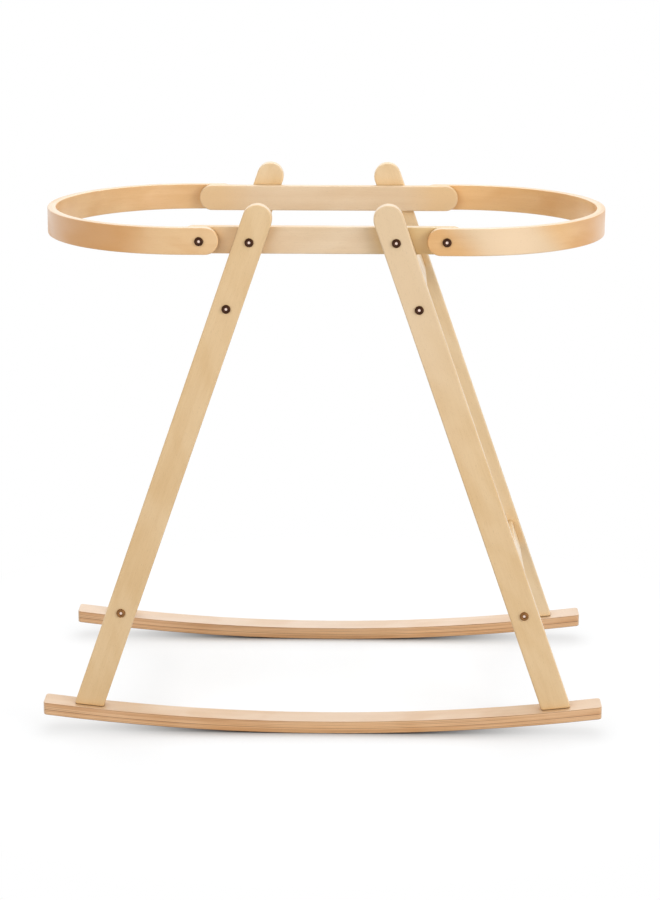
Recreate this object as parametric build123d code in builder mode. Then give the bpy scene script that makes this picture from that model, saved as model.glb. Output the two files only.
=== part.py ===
"""Moses basket stand: a rocking stand with a bent wood ring. Millimetres, +Z up.

The origin is on the floor below the middle of the ring. X runs along the ring, Y from front to back.
"""
import os
from math import asin, cos, degrees, radians, sin, sqrt

from build123d import *

# Ring: two straight rails and two bent hoops at one height
ring_height = 694  # floor to the middle of the rails and hoops
band_height = 37  # height of a rail and of a hoop
rail_length = 385
rail_thickness = 14
rail_overrun = 4  # of a rail's rounded tip past the start of the hoop's half round
hoop_radius = 206  # outside of a hoop's half round
hoop_thickness = 12
pivot_x = 166.3  # hoop pivots, from the middle of the stand
hoop_tail = 26.2  # from a pivot to the tip of the hoop
hoop_gap = 0.35  # between a hoop and the rail behind it, and under a pivot bolt's head
pivot_clearance = 0.1  # between a hoop's hole and its pivot bolt, on the radius

# Legs, each in the plane of the ring's straight side and leaning outwards towards the floor
leg_width = 40
leg_thickness = 20
leg_tilt = 19.2  # degrees from upright
leg_bolt_x = 98.4  # leg bolts on the rails, from the middle of the stand
leg_top_reach = 52.5  # from the rail bolt to the leg's rounded top, along the leg
upper_stretcher_drop = 96  # from the rail bolt, along the leg
lower_stretcher_drop = 552.5

# Stretchers join the front and rear legs of one side
stretcher_width = 40
stretcher_thickness = 20

# Runners, bent to one arc that rocks on the floor
runner_length = 782
runner_width = 38
runner_thickness = 18
runner_radius = 3085  # underside of the arc
runner_corner = 5
foot_gap = 0.05  # glue line between a leg's foot and its runner

# Softened edges
bar_edge = 2
hoop_edge = 1.6
runner_edge = 1.2
foot_corner = 3

# Socket bolts and the threaded inserts that they screw into
bolt_diameter = 6
bolt_hole_clearance = 0.2  # on the radius
bolt_head_diameter = 12
bolt_head_height = 3
bolt_head_round = 2
socket_size = 5  # across the flats
socket_depth = 2.2
insert_diameter = 8.5
insert_sink = 0.5  # from the wood's face down to the insert
thread_clearance = 0.05  # bolt to insert and insert to wood, on the radius
insert_end_space = 0.5
rail_insert_length = 9.5
rail_thread_reach = 8.5  # of a bolt below the rail's face
stretcher_insert_length = 20
stretcher_thread_reach = 18

# Dowel pins that keep the stretchers and feet from turning
pin_diameter = 6
pin_length = 24
pin_chamfer = 0.8
pin_clearance = 0.05  # pin to wood, on the radius
pin_end_space = 0.5
stretcher_pin_offset = 12  # above the bolt, along the leg
stretcher_pin_in_leg = 11
foot_pin_offset = -9  # from the middle of the foot, along the runner
foot_pin_in_runner = 10

# Screws driven up through the runners into the feet
screw_diameter = 5
screw_length = 46
screw_point = 6
screw_head_diameter = 9
screw_head_height = 2.6
screw_socket_size = 3
screw_socket_depth = 1.4
screw_sink = 1.5  # head below the runner's underside
screw_clearance = 0.1  # on the radius
screw_end_space = 1
foot_screw_offset = 5

# Places worked out from the sizes above
rail_face_y = hoop_radius - hoop_thickness - hoop_gap  # outer face of a rail, inner face of a leg
rail_mid_y = rail_face_y - rail_thickness / 2
leg_mid_y = rail_face_y + leg_thickness / 2
leg_face_y = rail_face_y + leg_thickness
arc_x = rail_length / 2 - rail_overrun  # start of a hoop's half round
ring_end_x = arc_x + hoop_radius
hoop_tip_x = pivot_x - hoop_tail
tilt = radians(leg_tilt)
leg_round_drop = leg_width / 2 - leg_top_reach
runner_top_radius = runner_radius - runner_thickness

# Where a leg's middle line meets the runner's top
arc_rise = runner_radius - ring_height
foot_reach = leg_bolt_x * sin(tilt) + arc_rise * cos(tilt)
foot_drop = sqrt(foot_reach**2 - leg_bolt_x**2 - arc_rise**2 + runner_top_radius**2) - foot_reach
foot_angle = asin((leg_bolt_x + foot_drop * sin(tilt)) / runner_top_radius)

sides = {"left": -1, "right": 1}
ends = {"front": -1, "rear": 1}
stretcher_drops = {"upper": upper_stretcher_drop, "lower": lower_stretcher_drop}

os.makedirs("parts", exist_ok=True)


def leg_point(side, drop, across=0):
    """Point in X and Z at a distance down a leg from its rail bolt, and across it outwards."""
    x = leg_bolt_x + drop * sin(tilt) + across * cos(tilt)
    z = ring_height - drop * cos(tilt) + across * sin(tilt)
    return side * x, z


def upright_plane(y):
    """Plane at a depth y, with its own x along X and its own y up; its normal points to -Y."""
    return Plane.XZ.offset(-y)


def bolt_seat(x, y, z):
    """Place on the front or rear of the stand, with its z pointing out of the stand."""
    outwards = 1 if y > 0 else -1
    return Plane((x, y, z), x_dir=(1, 0, 0), z_dir=(0, outwards, 0)).location


def foot_plane(side, end, radius, offset):
    """Plane on a runner's arc at a foot, with its z pointing up to the centre of the arc."""
    angle = foot_angle + offset / runner_top_radius
    origin = (side * radius * sin(angle), end * leg_mid_y, runner_radius - radius * cos(angle))
    along = (side * cos(angle), 0, sin(angle))
    upwards = (-side * sin(angle), 0, cos(angle))
    return Plane(origin, x_dir=along, z_dir=upwards)


# Rails, with blind holes for the inserts on their outer faces
insert_hole_radius = insert_diameter / 2 + thread_clearance
rail_hole_depth = insert_sink + rail_insert_length + insert_end_space
rail_bolt_points = [(side * x, ring_height) for side in sides.values() for x in (leg_bolt_x, pivot_x)]

for end_name, end in ends.items():
    with BuildPart() as rail:
        with BuildSketch(upright_plane(end * rail_mid_y)):
            with Locations((0, ring_height)):
                SlotOverall(rail_length, band_height)
        extrude(amount=rail_thickness / 2, both=True)
        fillet(rail.faces().filter_by(Axis.Y).edges(), bar_edge)
        with BuildSketch(upright_plane(end * rail_face_y)):
            with Locations(*rail_bolt_points):
                Circle(insert_hole_radius)
        extrude(amount=end * rail_hole_depth, mode=Mode.SUBTRACT)
    rail.part.label = f"{end_name}_rail"
    export_step(rail.part, f"parts/{end_name}_rail.step")

# Hoops, bent to a half round and turning on one bolt at each of their two ends
for side_name, side in sides.items():
    with BuildPart() as hoop:
        with BuildSketch(Plane.XY.offset(ring_height)):
            with Locations((side * arc_x, 0)):
                Circle(hoop_radius)
            with Locations((side * (hoop_tip_x + arc_x) / 2, 0)):
                Rectangle(arc_x - hoop_tip_x, 2 * hoop_radius)
            with Locations((side * arc_x, 0)):
                Circle(hoop_radius - hoop_thickness, mode=Mode.SUBTRACT)
            Rectangle(2 * arc_x, 2 * (hoop_radius - hoop_thickness), mode=Mode.SUBTRACT)
            with Locations((side * (hoop_tip_x + ring_end_x) / 2, 0)):
                Rectangle(ring_end_x - hoop_tip_x, 2 * hoop_radius, mode=Mode.INTERSECT)
        extrude(amount=band_height, both=True)
        with BuildSketch(Plane.XZ):
            with Locations((side * (hoop_tip_x + ring_end_x), ring_height)):
                SlotOverall(2 * ring_end_x, band_height)
        extrude(amount=2 * hoop_radius, both=True, mode=Mode.INTERSECT)
        fillet(hoop.edges() - hoop.edges().filter_by(Axis.Y) - hoop.edges().filter_by(Axis.Z), hoop_edge)
        with BuildSketch(Plane.XZ):
            with Locations((side * pivot_x, ring_height)):
                Circle(bolt_diameter / 2 + pivot_clearance)
        extrude(amount=2 * hoop_radius, both=True, mode=Mode.SUBTRACT)
    hoop.part.label = f"{side_name}_hoop"
    export_step(hoop.part, f"parts/{side_name}_hoop.step")

# Legs, rounded at the top and cut at the foot to the runner's arc
pin_hole_radius = pin_diameter / 2 + pin_clearance
foot_pin_in_leg = pin_length - foot_pin_in_runner
foot_screw_in_leg = screw_length - (runner_thickness - screw_sink)

for end_name, end in ends.items():
    for side_name, side in sides.items():
        half_width = leg_width / 2
        outer_top = leg_point(side, leg_round_drop, half_width)
        inner_top = leg_point(side, leg_round_drop, -half_width)
        outer_foot = leg_point(side, foot_drop + leg_width, half_width)
        inner_foot = leg_point(side, foot_drop + leg_width, -half_width)
        bolt_points = [leg_point(side, drop) for drop in (0, *stretcher_drops.values())]
        pin_points = [leg_point(side, drop - stretcher_pin_offset) for drop in stretcher_drops.values()]
        with BuildPart() as leg:
            with BuildSketch(upright_plane(end * leg_mid_y)):
                with BuildLine():
                    Polyline(outer_top, outer_foot, inner_foot, inner_top)
                    ThreePointArc(inner_top, leg_point(side, -leg_top_reach), outer_top)
                make_face()
                with Locations((0, runner_radius)):
                    Circle(runner_top_radius - foot_gap, mode=Mode.INTERSECT)
                fillet(vertices().sort_by(Axis.Y)[:2], foot_corner)
            extrude(amount=leg_thickness / 2, both=True)
            fillet(leg.faces().filter_by(Axis.Y).edges(), bar_edge)
            with BuildSketch(upright_plane(end * leg_mid_y)):
                with Locations(*bolt_points):
                    Circle(bolt_diameter / 2 + bolt_hole_clearance)
            extrude(amount=leg_thickness, both=True, mode=Mode.SUBTRACT)
            with BuildSketch(upright_plane(end * rail_face_y)):
                with Locations(*pin_points):
                    Circle(pin_hole_radius)
            extrude(amount=-end * (stretcher_pin_in_leg + pin_end_space), mode=Mode.SUBTRACT)
            with BuildSketch(foot_plane(side, end, runner_top_radius, foot_pin_offset)):
                Circle(pin_hole_radius)
            extrude(amount=foot_pin_in_leg + pin_end_space, mode=Mode.SUBTRACT)
            with BuildSketch(foot_plane(side, end, runner_top_radius, foot_screw_offset)):
                Circle(screw_diameter / 2 + screw_clearance)
            extrude(amount=foot_screw_in_leg + screw_end_space, mode=Mode.SUBTRACT)
        leg.part.label = f"{end_name}_{side_name}_leg"
        export_step(leg.part, f"parts/{end_name}_{side_name}_leg.step")

# Stretchers, butted between the legs of one side and leaning as the legs do
stretcher_hole_depth = insert_sink + stretcher_insert_length + insert_end_space
stretcher_pin_in_stretcher = pin_length - stretcher_pin_in_leg

for level, drop in stretcher_drops.items():
    for side_name, side in sides.items():
        with BuildPart() as stretcher:
            with BuildSketch(Plane.XZ):
                with Locations(leg_point(side, drop)):
                    Rectangle(stretcher_thickness, stretcher_width, rotation=side * leg_tilt)
            extrude(amount=rail_face_y, both=True)
            fillet(stretcher.edges().filter_by(Axis.Y), bar_edge)
            for end in ends.values():
                with BuildSketch(upright_plane(end * rail_face_y)):
                    with Locations(leg_point(side, drop)):
                        Circle(insert_hole_radius)
                extrude(amount=end * stretcher_hole_depth, mode=Mode.SUBTRACT)
                with BuildSketch(upright_plane(end * rail_face_y)):
                    with Locations(leg_point(side, drop - stretcher_pin_offset)):
                        Circle(pin_hole_radius)
                extrude(amount=end * (stretcher_pin_in_stretcher + pin_end_space), mode=Mode.SUBTRACT)
        stretcher.part.label = f"{level}_{side_name}_stretcher"
        export_step(stretcher.part, f"parts/{level}_{side_name}_stretcher.step")

# Runners, with a pin hole from above and a sunk screw hole from below at each foot
for end_name, end in ends.items():
    with BuildPart() as runner:
        with BuildSketch(upright_plane(end * leg_mid_y)):
            with Locations((0, runner_radius)):
                Circle(runner_radius)
                Circle(runner_top_radius, mode=Mode.SUBTRACT)
            Rectangle(runner_length, runner_radius, mode=Mode.INTERSECT)
        extrude(amount=runner_width / 2, both=True)
        fillet(runner.edges().filter_by(Axis.Z), runner_corner)
        fillet(runner.edges() - runner.edges().filter_by(Axis.Z), runner_edge)
        for side in sides.values():
            with BuildSketch(foot_plane(side, end, runner_top_radius, foot_pin_offset)):
                Circle(pin_hole_radius)
            extrude(amount=foot_pin_in_runner + pin_end_space, both=True, mode=Mode.SUBTRACT)
            with BuildSketch(foot_plane(side, end, runner_radius, foot_screw_offset)):
                Circle(screw_diameter / 2 + screw_clearance)
            extrude(amount=2 * runner_thickness, both=True, mode=Mode.SUBTRACT)
            with BuildSketch(foot_plane(side, end, runner_radius, foot_screw_offset)):
                Circle(screw_head_diameter / 2 + screw_clearance)
            extrude(amount=screw_sink + screw_head_height, both=True, mode=Mode.SUBTRACT)
    runner.part.label = f"{end_name}_runner"
    export_step(runner.part, f"parts/{end_name}_runner.step")


def socket_bolt(grip):
    """Bolt with its head above the seat and its shank reaching down by grip."""
    with BuildPart() as bolt:
        with BuildSketch(Plane.XZ):
            Rectangle(bolt_head_diameter, bolt_head_height, align=(Align.CENTER, Align.MIN))
            fillet(vertices().group_by(Axis.Y)[-1], bolt_head_round)
            Rectangle(bolt_diameter, grip, align=(Align.CENTER, Align.MAX))
            Rectangle(bolt_head_diameter, 2 * (grip + bolt_head_height), align=(Align.MIN, Align.CENTER),
                      mode=Mode.INTERSECT)
        revolve(axis=Axis.Z)
        with BuildSketch(Plane.XY.offset(bolt_head_height)):
            RegularPolygon(socket_size / 2, 6, major_radius=False)
        extrude(amount=-socket_depth, mode=Mode.SUBTRACT)
    return bolt.part


def threaded_insert(length):
    """Insert whose outer end lies just under the wood's face, with the bolt's bore right through."""
    with BuildPart() as insert:
        with BuildSketch(Plane.XY.offset(-insert_sink)):
            Circle(insert_diameter / 2)
            Circle(bolt_diameter / 2 + thread_clearance, mode=Mode.SUBTRACT)
        extrude(amount=-length)
    return insert.part


def place_fasteners(name, fastener, seats):
    """One node that holds a copy of the fastener at each seat."""
    with BuildPart() as group:
        with Locations(*seats):
            add(fastener)
    group.part.label = name
    export_step(group.part, f"parts/{name}.step")


# Seats of the bolts and inserts, on the wood's outer faces
corners = [(side, end) for side in sides.values() for end in ends.values()]
pivot_seat_y = hoop_radius + hoop_gap
pivot_seats = [bolt_seat(side * pivot_x, end * pivot_seat_y, ring_height) for side, end in corners]
rail_bolt_seats = [bolt_seat(side * leg_bolt_x, end * leg_face_y, ring_height) for side, end in corners]
rail_insert_seats = [
    bolt_seat(x, end * rail_face_y, z) for x, z in rail_bolt_points for end in ends.values()
]
stretcher_points = [
    (*leg_point(side, drop), end) for side, end in corners for drop in stretcher_drops.values()
]
stretcher_bolt_seats = [bolt_seat(x, end * leg_face_y, z) for x, z, end in stretcher_points]
stretcher_insert_seats = [bolt_seat(x, end * rail_face_y, z) for x, z, end in stretcher_points]

pivot_bolt = socket_bolt(pivot_seat_y - rail_face_y + rail_thread_reach)
rail_bolt = socket_bolt(leg_thickness + rail_thread_reach)
stretcher_bolt = socket_bolt(leg_thickness + stretcher_thread_reach)
place_fasteners("hoop_pivot_bolts", pivot_bolt, pivot_seats)
place_fasteners("leg_top_bolts", rail_bolt, rail_bolt_seats)
place_fasteners("stretcher_bolts", stretcher_bolt, stretcher_bolt_seats)
place_fasteners("rail_inserts", threaded_insert(rail_insert_length), rail_insert_seats)
place_fasteners("stretcher_inserts", threaded_insert(stretcher_insert_length), stretcher_insert_seats)

# Dowel pins, half in one piece of wood and half in the other
with BuildPart() as pin:
    with BuildSketch(Plane.XY):
        Circle(pin_diameter / 2)
    extrude(amount=pin_length)
    chamfer(pin.edges().filter_by(GeomType.CIRCLE), pin_chamfer)

stretcher_pin_seats = []
for side, end in corners:
    for drop in stretcher_drops.values():
        x, z = leg_point(side, drop - stretcher_pin_offset)
        pin_start = end * (rail_face_y - stretcher_pin_in_stretcher)
        stretcher_pin_seats.append(bolt_seat(x, pin_start, z))
foot_pin_seats = [
    foot_plane(side, end, runner_top_radius, foot_pin_offset).offset(-foot_pin_in_runner).location
    for side, end in corners
]
place_fasteners("stretcher_pins", pin.part, stretcher_pin_seats)
place_fasteners("foot_pins", pin.part, foot_pin_seats)

# Countersunk screws, head down in the runner's underside
with BuildPart() as screw:
    with BuildSketch(Plane.XZ):
        with BuildLine():
            Polyline(
                (0, 0),
                (screw_head_diameter / 2, 0),
                (screw_diameter / 2, screw_head_height),
                (screw_diameter / 2, screw_length - screw_point),
                (0, screw_length),
                close=True,
            )
        make_face()
    revolve(axis=Axis.Z)
    with BuildSketch(Plane.XY):
        RegularPolygon(screw_socket_size / 2, 6, major_radius=False)
    extrude(amount=screw_socket_depth, mode=Mode.SUBTRACT)

foot_screw_seats = [
    foot_plane(side, end, runner_radius, foot_screw_offset).offset(screw_sink).location
    for side, end in corners
]
place_fasteners("foot_screws", screw.part, foot_screw_seats)
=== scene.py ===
# %% [markdown]
# # A moses basket stand in pale bent birch
# The stand is a ring of two straight rails and two bent hoops, carried by four leaning legs on two
# rockers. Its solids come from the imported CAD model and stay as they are: their rounded edges
# already have the right size. What this lesson adds is the look: laminated birch with its grain and
# glue lines, socket bolts in dark bronze, a studio floor and soft lamps.

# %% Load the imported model
from math import atan2, cos, degrees, pi, radians, sin

import bmesh
import bpy
from mathutils import Matrix, Vector


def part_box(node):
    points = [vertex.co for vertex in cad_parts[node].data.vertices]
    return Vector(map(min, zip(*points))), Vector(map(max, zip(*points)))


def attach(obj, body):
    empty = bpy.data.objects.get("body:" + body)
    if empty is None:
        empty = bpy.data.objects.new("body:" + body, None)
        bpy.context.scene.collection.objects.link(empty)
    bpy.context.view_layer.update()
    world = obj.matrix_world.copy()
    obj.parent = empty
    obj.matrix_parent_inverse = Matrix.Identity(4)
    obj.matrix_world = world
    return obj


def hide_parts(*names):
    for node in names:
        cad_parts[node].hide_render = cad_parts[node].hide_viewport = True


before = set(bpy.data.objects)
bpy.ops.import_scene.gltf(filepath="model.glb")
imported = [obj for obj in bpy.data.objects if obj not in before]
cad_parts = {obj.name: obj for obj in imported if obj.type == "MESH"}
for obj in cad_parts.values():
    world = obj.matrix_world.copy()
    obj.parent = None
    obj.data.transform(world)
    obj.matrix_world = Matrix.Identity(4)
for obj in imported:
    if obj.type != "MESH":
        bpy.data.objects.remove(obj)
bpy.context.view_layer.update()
print("CAD nodes:", sorted(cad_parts))

# %% [markdown]
# ## Sizes that the finishes need
# A finish has to know where a piece lies and which way its grain runs. All of that can be read from
# the boxes of the CAD nodes, so nothing is measured twice, and a new CAD size carries over by
# itself.

# %% Read the places from the frame
MM = 0.001
SIDES = {"left": -1, "right": 1}
ENDS = {"front": -1, "rear": 1}
LEVELS = ("upper", "lower")


def middle(node_name):
    """Centre of a CAD node's box."""
    low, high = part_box(node_name)
    return (low + high) / 2


def extent(node_name):
    """Size of a CAD node's box along X, Y and Z."""
    low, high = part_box(node_name)
    return high - low


upper_middle = middle("upper_right_stretcher")
lower_middle = middle("lower_right_stretcher")
leg_lean = atan2(lower_middle.x - upper_middle.x, upper_middle.z - lower_middle.z)
ring_height = middle("front_rail").z
hoop_radius = extent("right_hoop").y / 2
bend_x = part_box("right_hoop")[1].x - hoop_radius
print("leg lean in degrees:", round(degrees(leg_lean), 2), "hoop radius:", round(hoop_radius, 4))

# %% [markdown]
# ## The camera
# The photograph is taken from about 3.5 m away, a little right of the middle and well above the
# ring, with a long lens. A long lens keeps the front and rear halves nearly the same size. The
# camera's turn is built from three plain rotations, so each one keeps its meaning.

# %% Place the camera
IMAGE_HEIGHT = 900
FOCAL_PIXELS = 2450
SENSOR = 36
CAMERA_PLACE = Vector((0.0741, -3.4487, 1.2473))
CAMERA_TURN_LEFT = 0.0197
CAMERA_TIP_DOWN = 0.2536
CAMERA_ROLL = 0.0017

camera_data = bpy.data.cameras.new("camera")
camera_data.sensor_width = SENSOR
camera_data.lens = FOCAL_PIXELS / IMAGE_HEIGHT * SENSOR
camera = bpy.data.objects.new("camera", camera_data)
bpy.context.scene.collection.objects.link(camera)
camera.matrix_world = (
    Matrix.Translation(CAMERA_PLACE)
    @ Matrix.Rotation(CAMERA_TURN_LEFT, 4, "Z")
    @ Matrix.Rotation(pi / 2 - CAMERA_TIP_DOWN, 4, "X")
    @ Matrix.Rotation(CAMERA_ROLL, 4, "Z")
)
bpy.context.scene.camera = camera
print("lens in mm:", round(camera_data.lens, 1))

# %% [markdown]
# ## Small helpers for node trees
# Every finish below is a tree of shader nodes. Wiring them one call at a time is slow to read, so
# one helper adds a node with its settings and inputs at once, and others do sums on numbers and
# places. Colours are written as a painter reads them off a screen, from 0 to 255, and turned into
# the linear values that Blender works in.

# %% Helpers for single nodes
WHITE = (1, 1, 1, 1)
BLACK = (0, 0, 0, 1)


def paint(red, green, blue):
    """Screen colour, 0 to 255, as the linear colour that shaders use."""
    shares = [value / 255 for value in (red, green, blue)]
    return (*[((s + 0.055) / 1.055) ** 2.4 if s > 0.04045 else s / 12.92 for s in shares], 1)


def feed(tree, socket, value):
    """Links another node's output to an input, or sets the input to a value."""
    if isinstance(value, bpy.types.NodeSocket):
        tree.links.new(value, socket)
    else:
        socket.default_value = value


def add_node(tree, kind, inputs=None, **settings):
    """New node. The inputs are values, or other nodes' outputs to link."""
    made = tree.nodes.new(kind)
    for name, value in settings.items():
        setattr(made, name, value)
    for name, value in (inputs or {}).items():
        feed(tree, made.inputs[name], value)
    return made


def calc(tree, operation, *values, clamp=False):
    """Result of a sum on numbers or sockets."""
    inputs = dict(enumerate(values))
    made = add_node(tree, "ShaderNodeMath", inputs, operation=operation, use_clamp=clamp)
    return made.outputs[0]


def vector_calc(tree, operation, *values):
    """Outputs of a sum on places or directions."""
    inputs = dict(enumerate(values))
    return add_node(tree, "ShaderNodeVectorMath", inputs, operation=operation).outputs


print("white paper in linear light:", [round(v, 3) for v in paint(245, 245, 245)])


# %% Helpers for places, values and colours
def split(tree, place):
    """X, Y and Z of a place or a direction."""
    return add_node(tree, "ShaderNodeSeparateXYZ", {0: place}).outputs


def join(tree, x, y, z=0.0):
    """Place made from its X, Y and Z."""
    return add_node(tree, "ShaderNodeCombineXYZ", {0: x, 1: y, 2: z}).outputs[0]


def noise(tree, place, scales=None, detail=2.0, roughness=0.5, distortion=0.0):
    """Soft noise between 0 and 1 over a place, which can be stretched along each axis first."""
    if scales:
        place = vector_calc(tree, "MULTIPLY", place, scales)[0]
    inputs = {"Vector": place, "Scale": 1.0, "Detail": detail, "Roughness": roughness,
              "Distortion": distortion}
    return add_node(tree, "ShaderNodeTexNoise", inputs).outputs["Fac"]


def ramp(tree, value, low, high, start=0.0, end=1.0):
    """Value brought from low..high to start..end, eased at both ends."""
    inputs = {"Value": value, "From Min": low, "From Max": high, "To Min": start, "To Max": end}
    made = add_node(tree, "ShaderNodeMapRange", inputs, interpolation_type="SMOOTHSTEP")
    return made.outputs["Result"]


def between(tree, share, start, end):
    """Number that goes evenly from start to end as the share goes from 0 to 1."""
    return calc(tree, "MULTIPLY_ADD", share, end - start, start)


def blend_colours(tree, share, first, second, mode="MIX"):
    """Colour between two others, or one multiplied by the other."""
    inputs = {0: share, 6: first, 7: second}
    made = add_node(tree, "ShaderNodeMix", inputs, data_type="RGBA", blend_type=mode)
    return made.outputs[2]


def lay_over(tree, colour, mask, share, other, mode="MIX"):
    """Colour with part of another one laid over it where the mask is 1."""
    return blend_colours(tree, calc(tree, "MULTIPLY", mask, share), colour, other, mode)


print("helpers for places, values and colours are ready")


# %% Helpers for groups and materials
def start_group(name, inputs, outputs):
    """Empty shader group, its input node's outputs and its output node's inputs."""
    tree = bpy.data.node_groups.new(name, "ShaderNodeTree")
    for label, kind, default in inputs:
        socket = tree.interface.new_socket(
            name=label, in_out="INPUT", socket_type="NodeSocket" + kind)
        if default is not None:
            socket.default_value = default
    for label, kind in outputs:
        tree.interface.new_socket(name=label, in_out="OUTPUT", socket_type="NodeSocket" + kind)
    given = tree.nodes.new("NodeGroupInput").outputs
    results = tree.nodes.new("NodeGroupOutput").inputs
    return tree, given, results


def finish_group(tree, results, values):
    """The group, once what it worked out is linked to its outputs."""
    for name, value in values.items():
        feed(tree, results[name], value)
    print("group:", tree.name, "with", len(tree.nodes), "nodes")
    return tree


def use_group(tree, group, inputs):
    """Outputs of a group placed in a tree."""
    return add_node(tree, "ShaderNodeGroup", inputs, node_tree=group).outputs


def start_material(name):
    """New material, its empty tree, and the place in metres that its patterns read."""
    material = bpy.data.materials.new(name)
    material.use_nodes = True
    tree = material.node_tree
    tree.nodes.clear()
    return material, tree, add_node(tree, "ShaderNodeTexCoord").outputs["Object"]


print("helpers for groups and materials are ready")

# %% [markdown]
# ## Birch grain
# Birch is a quiet wood. From a few metres away it is nearly plain, with a soft figure that crosses
# the piece at a slant; up close it has fine fibres along the piece and short dark flecks a few
# millimetres long. An image texture could show all that, but would need unwrapping and would
# repeat. Noise that is stretched along the grain gives the same thing at any size. The group reads
# a place in metres whose x runs along the grain, and puts out a tone, a mask of flecks and a height
# for the bump.

# %% Grain group
FIGURE_SLANT = (0.3, 0.35, 0.3)
FIGURE_SCALE = (7, 24, 24)
FIGURE_EDGES = (0.35, 0.65)
STREAK_SCALE = (4, 130, 130)
STREAK_WEIGHT = 0.75
FIBRE_SCALE = (55, 1500, 1500)
FIBRE_WEIGHT = 0.6
MOTTLE_SCALE = (16, 34, 34)
MOTTLE_WEIGHT = 0.6
FLECK_SCALE = (240, 2300, 2300)
FLECK_EDGES = (0.64, 0.74)
FLECK_DEPTH = 0.6


def make_birch_grain():
    """Group with the grain of one board. The seed picks the part of the pattern that it gets."""
    tree, given, results = start_group(
        "birch grain",
        [("Place", "Vector", None), ("Seed", "Float", 0.0), ("Figure", "Float", 0.5)],
        [("Tone", "Float"), ("Figure Tone", "Float"), ("Flecks", "Float"), ("Height", "Float")],
    )
    shift = join(tree, given["Seed"], given["Seed"], given["Seed"])
    place = vector_calc(tree, "ADD", given["Place"], shift)[0]
    slanted = add_node(tree, "ShaderNodeMapping", {"Vector": place, "Rotation": FIGURE_SLANT})
    figure = noise(
        tree, slanted.outputs[0], FIGURE_SCALE, detail=1.5, roughness=0.45, distortion=0.5)
    streaks = noise(tree, place, STREAK_SCALE, detail=3)
    fibres = noise(tree, place, FIBRE_SCALE)
    mottle = noise(tree, place, MOTTLE_SCALE)
    flecks = ramp(tree, noise(tree, place, FLECK_SCALE, detail=1), *FLECK_EDGES)
    figure_tone = ramp(tree, figure, *FIGURE_EDGES)
    tone = calc(
        tree, "MULTIPLY_ADD", calc(tree, "SUBTRACT", figure_tone, 0.5), given["Figure"], 0.5)
    for layer, weight in (
            (streaks, STREAK_WEIGHT), (fibres, FIBRE_WEIGHT), (mottle, MOTTLE_WEIGHT)):
        tone = calc(tree, "MULTIPLY_ADD", calc(tree, "SUBTRACT", layer, 0.5), weight, tone)
    return finish_group(tree, results, {
        "Tone": calc(tree, "ADD", tone, 0.0, clamp=True),
        "Figure Tone": figure_tone,
        "Flecks": flecks,
        "Height": calc(tree, "MULTIPLY_ADD", flecks, -FLECK_DEPTH, fibres),
    })


birch_grain = make_birch_grain()

# %% [markdown]
# ## Unbending the laminated pieces
# The hoops and the runners are pressed from thin birch leaves, so their grain follows the bend. The
# CAD nodes have no UV map and their meshes stay untouched, so the bend is undone with sums instead:
# a point's angle round the bend's centre gives how far along the piece it lies, and its distance
# from the centre gives how deep in the stack of leaves. Behind the centre a hoop runs on straight,
# and so does the sum. A Mapping node first brings the centre to the origin with the middle of the
# bend on +X.


# %% Unbend group
def make_unbend():
    """Group that lays a bent piece out straight and gives the depth below its outer face."""
    tree, given, results = start_group(
        "unbend",
        [("Place", "Vector", None), ("Radius", "Float", 1.0)],
        [("Grain Place", "Vector"), ("Depth", "Float")],
    )
    x, y, z = split(tree, given["Place"])
    forward = calc(tree, "MAXIMUM", x, 0.0)
    behind = calc(tree, "MINIMUM", x, 0.0)
    across = calc(tree, "ABSOLUTE", y)
    from_centre = calc(tree, "SQRT", calc(
        tree, "MULTIPLY_ADD", forward, forward, calc(tree, "MULTIPLY", across, across)))
    turned = calc(tree, "MULTIPLY", calc(tree, "ARCTAN2", across, forward), given["Radius"])
    along = calc(
        tree, "MULTIPLY", calc(tree, "SUBTRACT", turned, behind), calc(tree, "SIGN", y))
    depth = calc(tree, "SUBTRACT", given["Radius"], from_centre)
    return finish_group(tree, results, {"Grain Place": join(tree, along, z, depth), "Depth": depth})


unbend = make_unbend()

# %% [markdown]
# ## Glue lines between the leaves
# Where a laminated piece is cut, its leaves show as bands 1.5 to 2.5 mm thick with thin glue lines
# between them. The lines are not even: some stay dark over a long way and others come and go. Lines
# drawn in the mesh would be far too many faces, so the group turns the depth into a line mask and
# gives each leaf its own tone. Its lines are counted from the outside of the bend. The first one
# and every fourth one last, and the rest are thin.

# %% Leaf group
THIN_LINE = (0.06, 0.58)
LASTING_LINE = (0.68, 1.0)
LASTING_EVERY = 4
LINE_PACE = (6.0, 3.7)
LINE_EDGES = (0.42, 0.64)
LEAF_PACE = (3.0, 5.3)
LEAF_EDGES = (0.35, 0.65)


def line_strength(tree, number, comes_and_goes):
    """How dark a glue line is, from its faintest to its darkest as the noise comes and goes."""
    counted = calc(tree, "MODULO", calc(tree, "ADD", number, 1.0), LASTING_EVERY)
    lasting = calc(tree, "MAXIMUM", calc(tree, "LESS_THAN", counted, 0.5),
                   calc(tree, "LESS_THAN", number, 0.5))
    faintest = between(tree, lasting, THIN_LINE[0], LASTING_LINE[0])
    gain = between(tree, lasting, THIN_LINE[1] - THIN_LINE[0], LASTING_LINE[1] - LASTING_LINE[0])
    return calc(tree, "MULTIPLY_ADD", comes_and_goes, gain, faintest)


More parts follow.
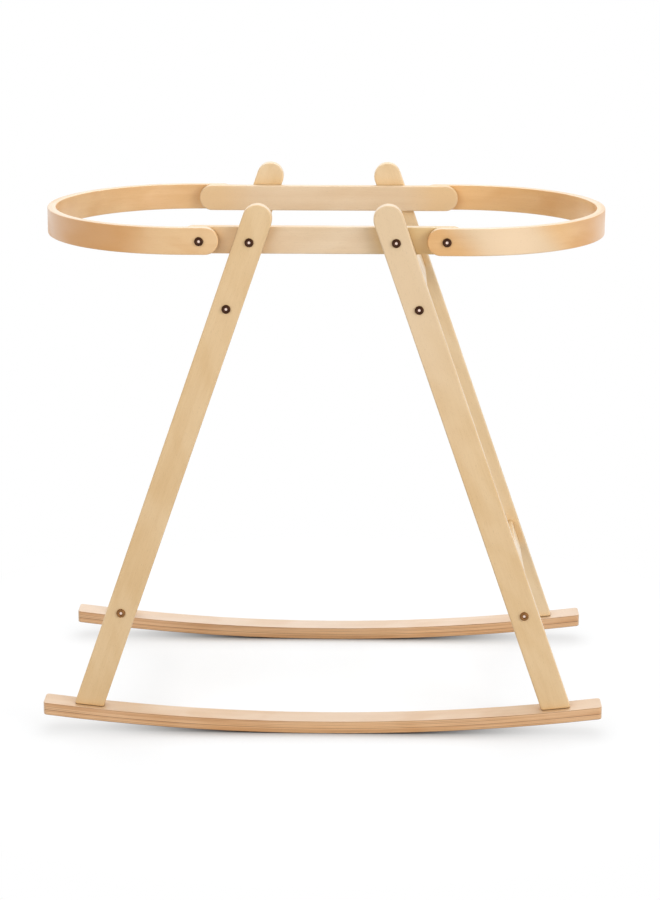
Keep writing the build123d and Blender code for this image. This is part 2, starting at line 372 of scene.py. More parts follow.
def make_leaves():
    """Group with the glue lines and the tones of the leaves on a cut side."""
    tree, given, results = start_group(
        "leaves and glue lines",
        [("Grain Place", "Vector", None), ("Depth", "Float", 0.0), ("First", "Float", 0.001),
         ("Leaf", "Float", 0.0025), ("Lines", "Float", 8.0), ("Line Width", "Float", 0.0012)],
        [("Line Mask", "Float"), ("Leaf Tone", "Float")],
    )
    below_first = calc(tree, "SUBTRACT", given["Depth"], given["First"])
    level = calc(tree, "DIVIDE", below_first, given["Leaf"])
    nearest = calc(tree, "ROUND", level)
    last = calc(tree, "SUBTRACT", given["Lines"], 0.5)
    inside = calc(tree, "MULTIPLY", calc(tree, "GREATER_THAN", nearest, -0.5),
                  calc(tree, "LESS_THAN", nearest, last))
    off_line = calc(tree, "ABSOLUTE", calc(tree, "SUBTRACT", level, nearest))
    gap = calc(tree, "MULTIPLY", off_line, given["Leaf"])
    half_width = calc(tree, "MULTIPLY", given["Line Width"], 0.5)
    line = ramp(tree, gap, 0.0, half_width, 1.0, 0.0)

    along = split(tree, given["Grain Place"])[0]
    line_place = join(tree, calc(tree, "MULTIPLY", along, LINE_PACE[0]),
                      calc(tree, "MULTIPLY", nearest, LINE_PACE[1]))
    leaf_place = join(tree, calc(tree, "MULTIPLY", along, LEAF_PACE[0]),
                      calc(tree, "MULTIPLY", calc(tree, "FLOOR", level), LEAF_PACE[1]))
    comes_and_goes = ramp(tree, noise(tree, line_place), *LINE_EDGES)
    strength = line_strength(tree, nearest, comes_and_goes)
    return finish_group(tree, results, {
        "Line Mask": calc(tree, "MULTIPLY", calc(tree, "MULTIPLY", line, inside), strength),
        "Leaf Tone": ramp(tree, noise(tree, leaf_place, detail=1), *LEAF_EDGES),
    })


leaves = make_leaves()

# %% [markdown]
# ## Sanded edges
# Edges of lacquered birch are eased with sandpaper, and the lacquer lies thinner there, so they
# look a shade paler and less glossy. The solids have their rounding already, but no mark of where
# it is. Blender's Bevel node gives a normal that is rounded over; where it differs from the real
# normal there must be an edge. That difference is the mask.

# %% Sanded edge group
EDGE_REACH = 2 * MM
EDGE_SAMPLES = 4
EDGE_DIFFERENCE = (0.01, 0.2)


def make_sanded_edges():
    """Group whose mask is 1 along the edges."""
    tree, given, results = start_group(
        "sanded edges", [("Reach", "Float", EDGE_REACH)], [("Edge", "Float")])
    rounded = add_node(
        tree, "ShaderNodeBevel", {"Radius": given["Reach"]}, samples=EDGE_SAMPLES).outputs[0]
    real = add_node(tree, "ShaderNodeNewGeometry").outputs["Normal"]
    match = vector_calc(tree, "DOT_PRODUCT", rounded, real)["Value"]
    edge = ramp(tree, calc(tree, "SUBTRACT", 1.0, match), *EDGE_DIFFERENCE)
    return finish_group(tree, results, {"Edge": edge})


sanded_edges = make_sanded_edges()

# %% [markdown]
# ## Painted shade in seams and corners
# Where one piece of wood meets another, the seam is painted as a thin dark line of shade, clearest
# under the feet. Farther out, the corner is painted a little darker and warmer than open wood, for
# the shade there and for light that has bounced off the wood beside it. Ambient occlusion finds
# both: it turns dark near another surface, and its reach says how near. The birch material uses
# this group twice, with a reach of 3 mm for seams and 30 mm for corners.

# %% Group for painted shade near surfaces
SEAM_SHADE = {"Reach": 3 * MM, "Open": 0.75, "Closed": 0.3}
CORNER_SHADE = {"Reach": 30 * MM, "Open": 0.95, "Closed": 0.5}
OPEN_SAMPLES = 8


def openness(tree, reach):
    """Ambient occlusion: 1 in the open, and less near another surface."""
    made = add_node(
        tree, "ShaderNodeAmbientOcclusion", {"Distance": reach}, samples=OPEN_SAMPLES)
    return made.outputs["AO"]


def make_painted_near_shade():
    """Group whose painted shade mask grows from 0 to 1 as the surface goes from open to closed."""
    inputs = [(name, "Float", value) for name, value in SEAM_SHADE.items()]
    tree, given, results = start_group("painted shade near surfaces", inputs, [("Seam", "Float")])
    seam_shade = ramp(tree, openness(tree, given["Reach"]), given["Open"], given["Closed"])
    return finish_group(tree, results, {"Seam": seam_shade})


painted_near_shade = make_painted_near_shade()

# %% [markdown]
# ## Cut leaves and patches of tone
# Two things lie on top of the plain grain. On the sides that lie across the stack, a laminated
# piece shows its cut leaves, so its colour changes to theirs where the surface turns that way. And
# a piece can have patches: stretches of another tone along the grain, which grow from clear to full
# between two distances from their middle. Some are the wood's own tone, and others are painted
# light and shade.

# %% Helpers for cut leaves and patches
CUT_EDGES = (0.55, 0.85)
LEAF_CONTRAST = 0.8
PATCH_SHARE = 0.75


def add_cut_leaves(tree, face_colour, place, depth, tone, stack):
    """Colour with the cut leaves and their glue lines on the sides that lie across the stack."""
    layers = use_group(tree, leaves, {
        "Grain Place": place, "Depth": depth, "First": stack["first"], "Leaf": stack["leaf"],
        "Lines": stack["lines"], "Line Width": stack["line_width"]})
    normal = add_node(tree, "ShaderNodeNewGeometry").outputs["True Normal"]
    across = split(tree, normal)[stack["cut_axis"]]
    cut = ramp(tree, calc(tree, "ABSOLUTE", across), *CUT_EDGES)
    centred = calc(tree, "SUBTRACT", tone, 0.5)
    leaf_shade = calc(
        tree, "MULTIPLY_ADD", centred, LEAF_CONTRAST, layers["Leaf Tone"], clamp=True)
    leaf_colour = blend_colours(tree, leaf_shade, stack["cut_dark"], stack["cut_pale"])
    leaf_colour = blend_colours(tree, layers["Line Mask"], leaf_colour, stack["line_colour"])
    return blend_colours(tree, cut, face_colour, leaf_colour)


def patch(at, clear, full, colour, slant=0.0):
    """Stretch of another tone: its middle along the grain, its two distances and its colour."""
    return {"at": at, "clear": clear, "full": full, "colour": colour, "slant": slant}


def add_patch(tree, colour, place, stretch):
    """Colour with one patch laid over it."""
    x, y, _ = split(tree, place)
    slanted = calc(tree, "MULTIPLY_ADD", y, stretch["slant"], x)
    off_middle = calc(tree, "ABSOLUTE", calc(tree, "SUBTRACT", slanted, stretch["at"]))
    mask = ramp(tree, off_middle, stretch["clear"], stretch["full"])
    return lay_over(tree, colour, mask, PATCH_SHARE, stretch["colour"])


print("a patch is laid over the grain by", PATCH_SHARE)

# %% [markdown]
# ## The birch material
# One function makes every wood material: it asks for a pale and a dark tone and for the turn that
# lays the grain along X. A bent piece also gives its stack: the bend, the leaves and the colours of
# the cut. Each piece gets a material of its own, because a turn and a seed of its own keep
# neighbouring pieces from sharing one grain, as in a real stand. The clear lacquer is a coat over
# the wood, a little duller where the figure is dark and along the edges.

# %% Birch material function
FIRST_SEED = {"rail": 3.1, "leg": 11, "stretcher": 31, "hoop": 51, "runner": 71, "dowel": 91}
FLECK_DARKNESS = 0.6
FLECK_SHARE = 0.3
EDGE_SHARE = 0.3
# Painted shade: corners darker and warmer for bounced light, and a thin dark line along seams.
CORNER_SHADE_TINT = (0.97, 0.9, 0.74, 1)
CORNER_SHADE_SHARE = 0.8
SEAM_SHADE_COLOUR = paint(120, 80, 42)
SEAM_SHADE_SHARE = 0.6
RELIEF_STRENGTH = 0.2
RELIEF_HEIGHT = 0.2 * MM
EDGE_DULLNESS = 0.1
FIGURE_DULLNESS = {"dark": 0.05, "pale": -0.05}
FIGURE_COAT = {"dark": -0.18, "pale": 0.17}
COAT_ROUGHNESS = 0.3


def birch(name, pale, dark, turn=(0, 0, 0), shift=(0, 0, 0), seed=0.0, figure=0.35,
          roughness=0.42, coat=0.5, stack=None, patches=()):
    """Lacquered birch, straight or, with a stack, laminated and bent."""
    material, tree, place = start_material(name)
    turned = {"Vector": place, "Location": shift, "Rotation": turn}
    place = add_node(tree, "ShaderNodeMapping", turned).outputs[0]
    if stack:
        straight = use_group(tree, unbend, {"Place": place, "Radius": stack["radius"]})
        place = straight["Grain Place"]
    grain = use_group(tree, birch_grain, {"Place": place, "Seed": seed, "Figure": figure})
    edge = use_group(tree, sanded_edges, {})["Edge"]
    # Masks for painted shade near other surfaces: wide in corners, thin along seams.
    corner_shade = use_group(tree, painted_near_shade, CORNER_SHADE)["Seam"]
    seam_shade = use_group(tree, painted_near_shade, SEAM_SHADE)["Seam"]

    colour = blend_colours(tree, grain["Tone"], dark, pale)
    for stretch in patches:
        colour = add_patch(tree, colour, place, stretch)
    if stack:
        colour = add_cut_leaves(tree, colour, place, straight["Depth"], grain["Tone"], stack)
    fleck_colour = (*[FLECK_DARKNESS * part for part in dark[:3]], 1)
    colour = lay_over(tree, colour, grain["Flecks"], FLECK_SHARE, fleck_colour)
    colour = lay_over(tree, colour, edge, EDGE_SHARE, pale)
    # Painted shade: corners turn darker and warmer, and seams turn to a thin dark line.
    colour = lay_over(tree, colour, corner_shade, CORNER_SHADE_SHARE, CORNER_SHADE_TINT, mode="MULTIPLY")
    colour = lay_over(tree, colour, seam_shade, SEAM_SHADE_SHARE, SEAM_SHADE_COLOUR)

    relief = add_node(tree, "ShaderNodeBump", {
        "Height": grain["Height"], "Strength": RELIEF_STRENGTH, "Distance": RELIEF_HEIGHT})
    dullness = between(tree, grain["Figure Tone"], roughness + FIGURE_DULLNESS["dark"],
                       roughness + FIGURE_DULLNESS["pale"])
    coat_weight = between(tree, grain["Figure Tone"], coat + FIGURE_COAT["dark"],
                          coat + FIGURE_COAT["pale"])
    shader = add_node(tree, "ShaderNodeBsdfPrincipled", {
        "Base Color": colour, "Normal": relief.outputs[0],
        "Roughness": calc(tree, "MULTIPLY_ADD", edge, EDGE_DULLNESS, dullness),
        "Coat Weight": coat_weight, "Coat Roughness": COAT_ROUGHNESS})
    add_node(tree, "ShaderNodeOutputMaterial", {"Surface": shader.outputs[0]})
    return material


def dress(node_name, material):
    """Gives a CAD node a material in its own slots."""
    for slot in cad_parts[node_name].material_slots:
        slot.material = material
    print(node_name, "is dressed in", material.name)


# %% [markdown]
# ## Straight bars: rails, legs and stretchers
# The rails run along X and need no turn. A leg leans, so its pattern is turned by the lean until
# the leg lies along X. The stretchers run from front to back. The rails are a shade pinker than the
# legs and warmer towards their ends, partly their own tone and partly painted shade from the legs
# and hoop ends. The front one has a painted shadow of the right leg beside it. The rear legs are a
# shade paler than the front ones, and the front right leg has painted light towards its top.

# %% Dress the rails and legs
RAIL_TONES = (paint(235, 210, 177), paint(223, 192, 154))
LEG_TONES = {
    "front": (paint(234, 202, 156), paint(220, 183, 132)),
    "rear": (paint(239, 212, 172), paint(227, 195, 148)),
}
# Painted light: the front right leg is paler towards its top.
PAINTED_LIT_TOP = patch(-0.72, clear=0.46, full=0.15, colour=paint(231, 204, 168))
# Warmer towards the rail ends: partly the wood's tone, partly painted shade from legs and hoop
# ends.
WARM_AND_SHADED_ENDS = patch(0, clear=0.1, full=0.17, colour=paint(229, 191, 139))
# Painted shadow of the front right leg on the front rail.
PAINTED_LEG_SHADOW = patch(0.13, clear=0.085, full=0.03, colour=paint(212, 183, 128))
PATCHES = {
    "front_rail": [WARM_AND_SHADED_ENDS, PAINTED_LEG_SHADOW],
    "rear_rail": [WARM_AND_SHADED_ENDS],
    "front_right_leg": [PAINTED_LIT_TOP],
}

for number, end_name in enumerate(ENDS):
    node_name = f"{end_name}_rail"
    rail = birch(f"{end_name} rail birch", *RAIL_TONES,
                 seed=FIRST_SEED["rail"] + number, patches=PATCHES[node_name])
    dress(node_name, rail)
    for side_name, side in SIDES.items():
        node_name = f"{end_name}_{side_name}_leg"
        leg = birch(f"{end_name} {side_name} leg birch", *LEG_TONES[end_name],
                    turn=(0, side * leg_lean - pi / 2, 0),
                    seed=FIRST_SEED["leg"] + 2 * number + side,
                    patches=PATCHES.get(node_name, []))
        dress(node_name, leg)

# %% Dress the stretchers
for number, level in enumerate(LEVELS):
    for side_name, side in SIDES.items():
        stretcher = birch(f"{level} {side_name} stretcher birch", *LEG_TONES["rear"],
                          turn=(0, 0, pi / 2),
                          seed=FIRST_SEED["stretcher"] + 2 * number + side)
        dress(f"{level}_{side_name}_stretcher", stretcher)

# %% [markdown]
# ## Bent pieces: hoops and runners
# A hoop's centre of bend lies on the ring's long axis, and a runner's 3 m above the floor. A hoop
# is pressed from eight equal leaves of warm birch. The left one has a stretch of darker honey along
# its front, partly its own tone and partly painted shade on the side turned from the main lamp. The
# right one has a pale stretch that slants across its front, partly a pale streak in the wood and
# partly a painted highlight, and painted shade at its end. A runner has seven thick leaves between
# two thin, pale face leaves, and shows them along both sides. Where a mesh would need a leaf for
# each layer, the stack's few numbers are enough here.

# %% Dress the hoops
HOOP_LEAVES = 8
HOOP_LEAF = 1.5 * MM
HOOP_TONES = {
    "left": (paint(238, 199, 148), paint(222, 175, 120)),
    "right": (paint(236, 191, 132), paint(219, 165, 104)),
}
HOOP_TONE_AND_LIGHT_PATCHES = {
    # Darker honey: partly the wood's tone, partly painted shade.
    "left": [patch(0.13, clear=0.17, full=0.1, colour=paint(216, 153, 84))],
    "right": [
        # Pale slanted stretch: partly a streak in the wood, partly a painted highlight.
        patch(-0.258, clear=0.09, full=0.035, colour=paint(228, 202, 167), slant=0.9),
        # Painted shade at the right hoop's end.
        patch(-0.08, clear=0.1, full=0.02, colour=paint(221, 163, 97)),
    ],
}
hoop_stack = {
    "radius": hoop_radius, "cut_axis": 2, "first": HOOP_LEAF, "leaf": HOOP_LEAF,
    "lines": HOOP_LEAVES - 1, "line_width": 0.7 * MM, "line_colour": paint(178, 130, 82),
    "cut_pale": paint(240, 212, 172), "cut_dark": paint(226, 190, 144),
}
for number, (side_name, side) in enumerate(SIDES.items()):
    hoop = birch(f"{side_name} hoop birch", *HOOP_TONES[side_name], figure=0.5, coat=0.8,
                 turn=(0, 0, 0 if side > 0 else pi), shift=(-bend_x, 0, -ring_height),
                 seed=FIRST_SEED["hoop"] + number, stack=hoop_stack,
                 patches=HOOP_TONE_AND_LIGHT_PATCHES[side_name])
    dress(f"{side_name}_hoop", hoop)

# %% Dress the runners
RUNNER_THICKNESS = 18 * MM
RUNNER_RADIUS = 3.085
RUNNER_LEAVES = 7
FACE_LEAF = 0.8 * MM
RUNNER_TONES = {
    "front": (paint(221, 192, 160), paint(209, 174, 138)),
    "rear": (paint(227, 202, 176), paint(216, 186, 156)),
}
LYING_TO_UPRIGHT = Matrix(((0, 0, -1), (-1, 0, 0), (0, 1, 0))).to_euler()
runner_stack = {
    "radius": RUNNER_RADIUS, "cut_axis": 1, "first": FACE_LEAF,
    "leaf": (RUNNER_THICKNESS - 2 * FACE_LEAF) / RUNNER_LEAVES,
    "lines": RUNNER_LEAVES + 1, "line_width": 1.3 * MM, "line_colour": paint(114, 66, 31),
    "cut_pale": paint(229, 183, 136), "cut_dark": paint(208, 157, 109),
}
for number, end_name in enumerate(ENDS):
    runner = birch(f"{end_name} runner birch", *RUNNER_TONES[end_name], figure=0.4,
                   turn=tuple(LYING_TO_UPRIGHT), shift=(RUNNER_RADIUS, 0, 0),
                   seed=FIRST_SEED["runner"] + number, stack=runner_stack)
    dress(f"{end_name}_runner", runner)

# %% [markdown]
# ## Metal and dowels
# The bolts are plated a dark bronze that is rubbed brighter on high spots. The drilled point of the
# socket is a pale metal, a painted glint. The lowest four have a paler, more yellow plating than
# the rest. The threaded inserts and the wood screws are zinc, with a faint yellow on the inserts.
# The dowels are bare beech. One group serves all the plated metals: cloudy noise breaks up the worn
# edges, and fine grit varies the gloss.

# %% Plating group
CLOUD_SCALE = (420, 420, 420)
CLOUD_EDGES = (0.3, 0.6)
GRIT_SCALE = (2600, 2600, 2600)
PLATE_ROUGHNESS = (0.16, 0.34)


def make_plating():
    """Group with the wear along worn edges and the roughness of a plated surface."""
    tree, given, results = start_group(
        "plating",
        [("Place", "Vector", None), ("Worn Edge", "Float", 0.0)],
        [("Wear", "Float"), ("Roughness", "Float")],
    )
    cloud = ramp(tree, noise(tree, given["Place"], CLOUD_SCALE, detail=3), *CLOUD_EDGES)
    grit = noise(tree, given["Place"], GRIT_SCALE)
    return finish_group(tree, results, {
        "Wear": calc(tree, "MULTIPLY", given["Worn Edge"], cloud),
        "Roughness": between(tree, grit, *PLATE_ROUGHNESS),
    })


plating = make_plating()

# %% Metal materials
PLATE_EDGE = 0.6 * MM
LOW_FITTINGS = (0.4, 0.3)


def plated_metal(name, colour, worn_colour, low_colour=None):
    """Plated metal with worn edges. Fittings near the floor can have a colour of their own."""
    material, tree, place = start_material(name)
    edge = use_group(tree, sanded_edges, {"Reach": PLATE_EDGE})["Edge"]
    plate = use_group(tree, plating, {"Place": place, "Worn Edge": edge})
    if low_colour:
        low = ramp(tree, split(tree, place)[2], *LOW_FITTINGS)
        colour = blend_colours(tree, low, colour, low_colour)
    shader = add_node(tree, "ShaderNodeBsdfPrincipled", {
        "Base Color": blend_colours(tree, plate["Wear"], colour, worn_colour),
        "Metallic": 1.0, "Roughness": plate["Roughness"]})
    add_node(tree, "ShaderNodeOutputMaterial", {"Surface": shader.outputs[0]})
    print("metal:", name)
    return material


bronze = plated_metal("dark bronze plating", paint(68, 44, 32), paint(106, 77, 58),
                      low_colour=paint(136, 96, 58))
# Painted glint: a pale metal at the drilled point of each socket.
glint_bronze = plated_metal(
    "pale metal for the painted glint in sockets", paint(236, 212, 199), paint(244, 230, 222))
insert_zinc = plated_metal("yellow zinc plating", paint(205, 190, 145), paint(225, 220, 205))
screw_zinc = plated_metal("bright zinc plating", paint(196, 198, 200), paint(228, 228, 228))

# %% Dress the inserts, screws and dowels
beech = birch("bare beech dowel", paint(222, 188, 148), paint(196, 156, 114),
              turn=(0, 0, pi / 2), seed=FIRST_SEED["dowel"], roughness=0.6, coat=0.2)
HIDDEN_FITTINGS = {
    "rail_inserts": insert_zinc, "stretcher_inserts": insert_zinc, "foot_screws": screw_zinc,
    "stretcher_pins": beech, "foot_pins": beech,
}
for node_name, material in HIDDEN_FITTINGS.items():
    dress(node_name, material)

# %% [markdown]
# ## Socket bolts
# Sixteen bolt heads are the only dark marks on the stand, so the eye goes to them. Each is a 12 mm
# button head with a rounded rim and a hexagon socket. The socket's mouth is eased, and a drill has
# left a shallow point in its floor. The head and shank are a profile spun round the bolt's axis;
# the hexagon is a six sided circle with more points on its sides, bridged to the round mouth, so
# the two loops match point for point.

# %% Sizes of a bolt, and helpers that find its points and edges
SHANK_RADIUS = 3 * MM
SHANK_CHAMFER = 0.6 * MM
HEAD_RADIUS = 6 * MM
HEAD_HEIGHT = 3 * MM
HEAD_ROUND = 1.7 * MM
HEAD_ROUND_STEPS = 6
MOUTH_RADIUS = 3.15 * MM
MOUTH_DEPTH = 0.3 * MM
SOCKET_SIDES = 6
SOCKET_CORNER = 2.88 * MM
SOCKET_DEPTH = 1.7 * MM
DRILL_RADIUS = 1.8 * MM
DRILL_POINT = 0.2 * MM
SPIN_STEPS = 48
NEAR = 0.01 * MM
SHARP_EDGE = radians(32)


def points_of(geometry):
    """The points among what an operator returns."""
    return [part for part in geometry if isinstance(part, bmesh.types.BMVert)]


def edges_among(shape, verts):
    """Edges that join the given points to one another."""
    chosen = set(verts)
    return [edge for edge in shape.edges if set(edge.verts) <= chosen]


def ring_edges(shape, radius, height):
    """Edges of a spun shape round one radius and height."""
    return edges_among(shape, [
        vert for vert in shape.verts
        if abs(vert.co.xy.length - radius) < NEAR and abs(vert.co.z - height) < NEAR])


print("socket floor is", round((HEAD_HEIGHT - MOUTH_DEPTH - SOCKET_DEPTH) / MM, 2),
      "mm above the seat")


# %% Spin the blank
def spin_blank(shape, shank_length):
    """Spins a head and shank without a socket, the seat at the origin and the head along +Z."""
    profile = [
        (0, -shank_length), (SHANK_RADIUS - SHANK_CHAMFER, -shank_length),
        (SHANK_RADIUS, SHANK_CHAMFER - shank_length), (SHANK_RADIUS, 0), (HEAD_RADIUS, 0),
        (HEAD_RADIUS, HEAD_HEIGHT), (MOUTH_RADIUS, HEAD_HEIGHT),
    ]
    points = [shape.verts.new((radius, 0, height)) for radius, height in profile]
    lines = [shape.edges.new(pair) for pair in zip(points, points[1:])]
    bmesh.ops.spin(shape, geom=points + lines, cent=(0, 0, 0), axis=(0, 0, 1), angle=2 * pi,
                   steps=SPIN_STEPS, use_merge=True)
    bmesh.ops.remove_doubles(shape, verts=shape.verts, dist=NEAR)
    bmesh.ops.bevel(shape, geom=ring_edges(shape, HEAD_RADIUS, HEAD_HEIGHT), offset=HEAD_ROUND,
                    segments=HEAD_ROUND_STEPS, profile=0.5, affect="EDGES", material=-1)


print("a blank is spun in", SPIN_STEPS, "steps and its rim rounded in", HEAD_ROUND_STEPS)


# %% Sink the socket
def sink_socket(shape):
    """Bridges the mouth to a hexagon, and pulls that down to a floor with a drilled point."""
    mouth = ring_edges(shape, MOUTH_RADIUS, HEAD_HEIGHT)
    socket_top = Matrix.Translation((0, 0, HEAD_HEIGHT - MOUTH_DEPTH))
    corners = bmesh.ops.create_circle(
        shape, segments=SOCKET_SIDES, radius=SOCKET_CORNER, matrix=socket_top)["verts"]
    hexagon = bmesh.ops.subdivide_edges(
        shape, edges=edges_among(shape, corners), cuts=SPIN_STEPS // SOCKET_SIDES - 1)["geom"]
    hexagon = [part for part in hexagon if isinstance(part, bmesh.types.BMEdge)]
    bmesh.ops.bridge_loops(shape, edges=mouth + hexagon)
    floor_points = points_of(bmesh.ops.extrude_edge_only(shape, edges=hexagon)["geom"])
    bmesh.ops.translate(shape, verts=floor_points, vec=(0, 0, -SOCKET_DEPTH))
    rim_points = points_of(bmesh.ops.extrude_edge_only(
        shape, edges=edges_among(shape, floor_points))["geom"])
    for point in rim_points:
        point.co.xy = DRILL_RADIUS * point.co.xy.normalized()
    cone_points = points_of(bmesh.ops.extrude_edge_only(
        shape, edges=edges_among(shape, rim_points))["geom"])
    tip = (0, 0, HEAD_HEIGHT - MOUTH_DEPTH - SOCKET_DEPTH - DRILL_POINT)
    bmesh.ops.pointmerge(shape, verts=cone_points, merge_co=tip)


print("a socket has", SOCKET_SIDES, "sides and is", round(SOCKET_DEPTH / MM, 2), "mm deep")


# %% Make one bolt
def make_bolt(shank_length):
    """Mesh of one button head socket bolt. The drilled point has the second material."""
    shape = bmesh.new()
    spin_blank(shape, shank_length)
    sink_socket(shape)
    bmesh.ops.recalc_face_normals(shape, faces=shape.faces)
    for face in shape.faces:
        face.smooth = True
        centre = face.calc_center_median()
        drilled_out = centre.z > 0 and centre.xy.length < DRILL_RADIUS
        face.material_index = 1 if drilled_out else 0
    for edge in shape.edges:
        edge.smooth = edge.is_manifold and edge.calc_face_angle() < SHARP_EDGE
    mesh = bpy.data.meshes.new("one bolt")
    shape.to_mesh(mesh)
    open_edges = sum(not edge.is_manifold for edge in shape.edges)
    print("bolt:", len(shape.faces), "faces, open edges:", open_edges)
    shape.free()
    return mesh


# %% [markdown]
# ## Seating the bolts
# The stand has bolts of three lengths, and the front and rear halves are alike. One bolt is made
# for each length and copied to its seats, each turned by a different angle, as bolts stop where
# they get tight. The copies are joined in one mesh, because alike fasteners are one CAD node.

# %% Seat the bolts
FIRST_TURN = 0.35
NEXT_TURN = 0.9
PIVOT_SHANK = 21.2 * MM
LEG_SHANK = 28.5 * MM
STRETCHER_SHANK = 38 * MM


def seat_bolts(name, node_name, shank_length, places):
    """One piece with a copy of the bolt at each place in X and Z, on the front and on the rear."""
    single = make_bolt(shank_length)
    seat_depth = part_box(node_name)[1].y - HEAD_HEIGHT
    joined = bmesh.new()
    for number, (x, z) in enumerate(places):
        for end in ENDS.values():
            before = set(joined.verts)
            joined.from_mesh(single)
            fresh = [vert for vert in joined.verts if vert not in before]
            facing = Vector((0, end, 0)).to_track_quat("Z", "X").to_matrix().to_4x4()
            turned = Matrix.Rotation(FIRST_TURN + NEXT_TURN * number, 4, "Z")
            seat = Matrix.Translation((x, end * seat_depth, z))
            bmesh.ops.transform(joined, verts=fresh, matrix=seat @ facing @ turned)
    mesh = bpy.data.meshes.new(name)
    joined.to_mesh(mesh)
    joined.free()
    bpy.data.meshes.remove(single)
    mesh.materials.append(bronze)
    mesh.materials.append(glint_bronze)
    bolts = bpy.data.objects.new(name, mesh)
    bpy.context.scene.collection.objects.link(bolts)
    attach(bolts, "frame")
    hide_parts(node_name)
    print(name, "at", len(places) * len(ENDS), "seats")


def ring_seats(node_name):
    """Seats at ring height on both sides, as far out as the CAD node's bolts are."""
    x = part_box(node_name)[1].x - HEAD_RADIUS
    return [(side * x, ring_height) for side in SIDES.values()]


stretcher_middles = [
    middle(f"{level}_{side_name}_stretcher") for level in LEVELS for side_name in SIDES]
seat_bolts("pivot_socket_bolts", "hoop_pivot_bolts", PIVOT_SHANK, ring_seats("hoop_pivot_bolts"))
seat_bolts("leg_socket_bolts", "leg_top_bolts", LEG_SHANK, ring_seats("leg_top_bolts"))
seat_bolts("stretcher_socket_bolts", "stretcher_bolts", STRETCHER_SHANK,
           [(spot.x, spot.z) for spot in stretcher_middles])

# %% [markdown]
# ## The floor
# The photograph is a studio cut-out: a white ground with only a contact shadow left under the
# runners. Lighting a real floor until it turns white would burn out the pale wood too. So there are
# two floors in one. Light that spreads meets a dim floor with an even glow, which also keeps the
# undersides of the runners from going black. The camera, gloss and glass see a pale one that goes
# to white in the open and keeps the soft shadow. Ambient occlusion deepens that shadow where the
# runners touch down. Farther out the floor fades to plain white, and it does so in part towards the
# runners' raised ends. Seen from below it is clear.

# %% Make the floor
FLOOR_RADIUS = 2.6
FLOOR_SIDES = 64

floor_mesh = bpy.data.meshes.new("floor")
floor_shape = bmesh.new()
bmesh.ops.create_circle(floor_shape, cap_ends=True, segments=FLOOR_SIDES, radius=FLOOR_RADIUS)
floor_shape.to_mesh(floor_mesh)
floor_shape.free()
floor = bpy.data.objects.new("floor", floor_mesh)
bpy.context.scene.collection.objects.link(floor)
print("floor is a disc of", FLOOR_RADIUS, "m")


# %% Helpers for light and shaders
def seen_directly(tree):
    """1 for rays from the camera, from gloss and through glass, 0 for light that spreads."""
    rays = add_node(tree, "ShaderNodeLightPath").outputs
    seen = calc(tree, "MAXIMUM", rays["Is Camera Ray"], rays["Is Glossy Ray"])
    return calc(tree, "MAXIMUM", seen, rays["Is Transmission Ray"])


def spread(tree, colour):
    """Matt surface of one colour."""
    return add_node(tree, "ShaderNodeBsdfDiffuse", {"Color": colour}).outputs[0]


def glow(tree, strength):
    """White light given off evenly."""
    made = add_node(tree, "ShaderNodeEmission", {"Color": WHITE, "Strength": strength})
    return made.outputs[0]


def mix_shaders(tree, share, first, second):
    """Shader between two others."""
    return add_node(tree, "ShaderNodeMixShader", {0: share, 1: first, 2: second}).outputs[0]


print("helpers for light and shaders are ready")

# %% Give the floor its two faces
REAL_FLOOR = (0.14, 0.14, 0.14, 1)
FLOOR_GLOW = 0.36
SHOWN_FLOOR = (0.92, 0.94, 0.96, 1)
CONTACT_REACH = 60 * MM
CONTACT_POWER = 0.8
FAR_FADE = (0.5, 0.75)
END_FADE_PLACES = (0.1, 0.36)
END_FADE = 0.75

floor_material, tree, place = start_material("studio floor")
real_floor = add_node(tree, "ShaderNodeAddShader", {
    0: spread(tree, REAL_FLOOR), 1: glow(tree, FLOOR_GLOW)}).outputs[0]
open_share = calc(tree, "POWER", openness(tree, CONTACT_REACH), CONTACT_POWER)
shown_floor = spread(tree, blend_colours(tree, open_share, BLACK, SHOWN_FLOOR))
far = ramp(tree, vector_calc(tree, "LENGTH", place)["Value"], *FAR_FADE)
sideways = calc(tree, "ABSOLUTE", split(tree, place)[0])
fade = calc(tree, "MAXIMUM", far, ramp(tree, sideways, *END_FADE_PLACES, 0.0, END_FADE))
faded = mix_shaders(tree, fade, shown_floor, glow(tree, 1.0))
by_ray = mix_shaders(tree, seen_directly(tree), real_floor, faded)
backfacing = add_node(tree, "ShaderNodeNewGeometry").outputs["Backfacing"]
clear = add_node(tree, "ShaderNodeBsdfTransparent").outputs[0]
add_node(tree, "ShaderNodeOutputMaterial", {
    "Surface": mix_shaders(tree, backfacing, by_ray, clear)})
floor_mesh.materials.append(floor_material)
print("floor material:", len(tree.nodes), "nodes")

# %% [markdown]
# ## The world
# The light of the world is bright behind and above the stand and dim on the camera's side, as a
# studio is. The camera, gloss and glass see that world as white, so metal and lacquer show the
# white ground too. A brighter panel at the front right shows in gloss alone: its wide reflection is
# the satin highlight on the right hoop. A real panel would do the same, but would also throw its
# own light on the floor.

# %% Set the world
FRONT_LEVEL = 0.25
BACK_LEVEL = 0.78
BEHIND_EDGES = (-0.6, 0.45)
ABOVE_EDGES = (0.5, 1.0)
PANEL_LEVEL = 2.7
PANEL_SIDE = radians(37)
PANEL_EDGES = (0.8, 0.96)

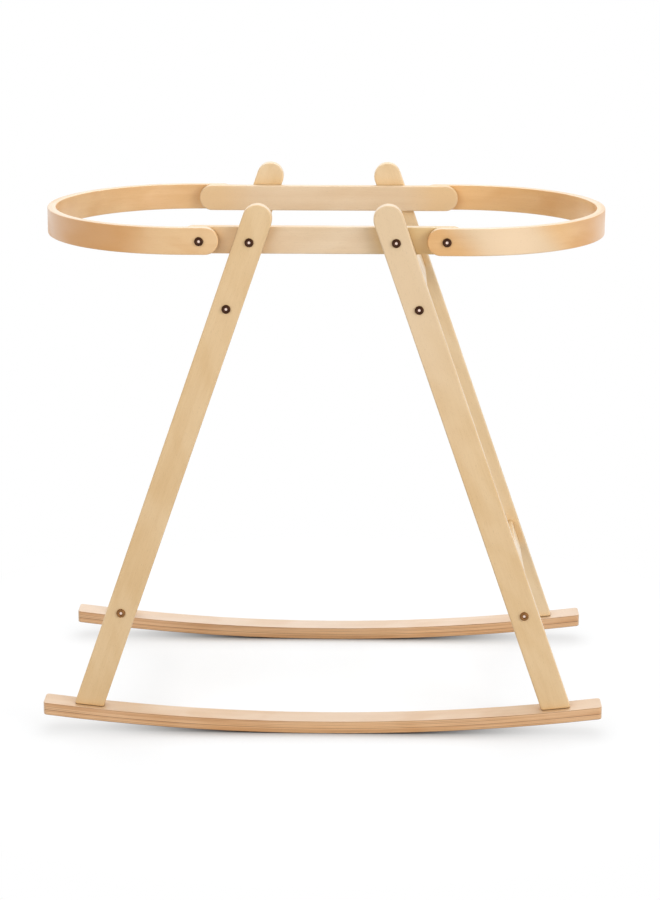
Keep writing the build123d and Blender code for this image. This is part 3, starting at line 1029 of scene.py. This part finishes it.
world = bpy.data.worlds.new("studio")
bpy.context.scene.world = world
world.use_nodes = True
tree = world.node_tree
tree.nodes.clear()
x, y, z = split(tree, add_node(tree, "ShaderNodeTexCoord").outputs["Generated"])
behind = calc(tree, "MAXIMUM", ramp(tree, y, *BEHIND_EDGES), ramp(tree, z, *ABOVE_EDGES))
room_level = ramp(tree, behind, 0.0, 1.0, FRONT_LEVEL, BACK_LEVEL)
towards_panel = calc(tree, "SUBTRACT", calc(tree, "MULTIPLY", x, sin(PANEL_SIDE)),
                     calc(tree, "MULTIPLY", y, cos(PANEL_SIDE)))
panel_level = ramp(tree, towards_panel, *PANEL_EDGES, 0.0, PANEL_LEVEL)
in_gloss = add_node(tree, "ShaderNodeLightPath").outputs["Is Glossy Ray"]
level = calc(tree, "MAXIMUM", room_level, calc(tree, "MULTIPLY", panel_level, in_gloss))
level = calc(tree, "MAXIMUM", level, seen_directly(tree))
backdrop = add_node(tree, "ShaderNodeBackground", {"Color": WHITE, "Strength": level})
add_node(tree, "ShaderNodeOutputWorld", {"Surface": backdrop.outputs[0]})
print("world light from", FRONT_LEVEL, "at the front to", BACK_LEVEL, "behind")

# %% [markdown]
# ## The lamps
# A soft lamp stands at the front right, a broader fill at the front left, and a third lamp hangs
# above and behind. Large rectangles give the soft shadow edges of a studio. The two front ones stay
# out of the gloss, where their outlines would show on the hoops.

# %% Hang the lamps
STAND_MIDDLE = (0, 0, 0.45)
FLOOR_MIDDLE = (0, 0, 0)


def soft_lamp(name, place, target, size, power, in_gloss=True):
    """Rectangular lamp at a place, turned towards its target. Its size is width and height."""
    lamp_data = bpy.data.lights.new(name, "AREA")
    lamp_data.shape = "RECTANGLE"
    lamp_data.size, lamp_data.size_y = size
    lamp_data.energy = power
    lamp = bpy.data.objects.new(name, lamp_data)
    lamp.location = place
    direction = Vector(target) - Vector(place)
    lamp.rotation_euler = direction.to_track_quat("-Z", "Y").to_euler()
    lamp.visible_glossy = in_gloss
    bpy.context.scene.collection.objects.link(lamp)
    print(name, power, "W")


soft_lamp("right lamp", (2.5, -2.15, 1.4), STAND_MIDDLE, size=(2.0, 1.2), power=51, in_gloss=False)
soft_lamp("left fill", (-1.75, -3.0, 1.75), STAND_MIDDLE, size=(2.6, 2.0), power=47, in_gloss=False)
soft_lamp("top lamp", (0.0, 1.4, 2.8), FLOOR_MIDDLE, size=(2.2, 2.2), power=38)

# %% [markdown]
# Standard colour management shows each colour about as it is written.

bpy.context.scene.view_settings.view_transform = "Standard"
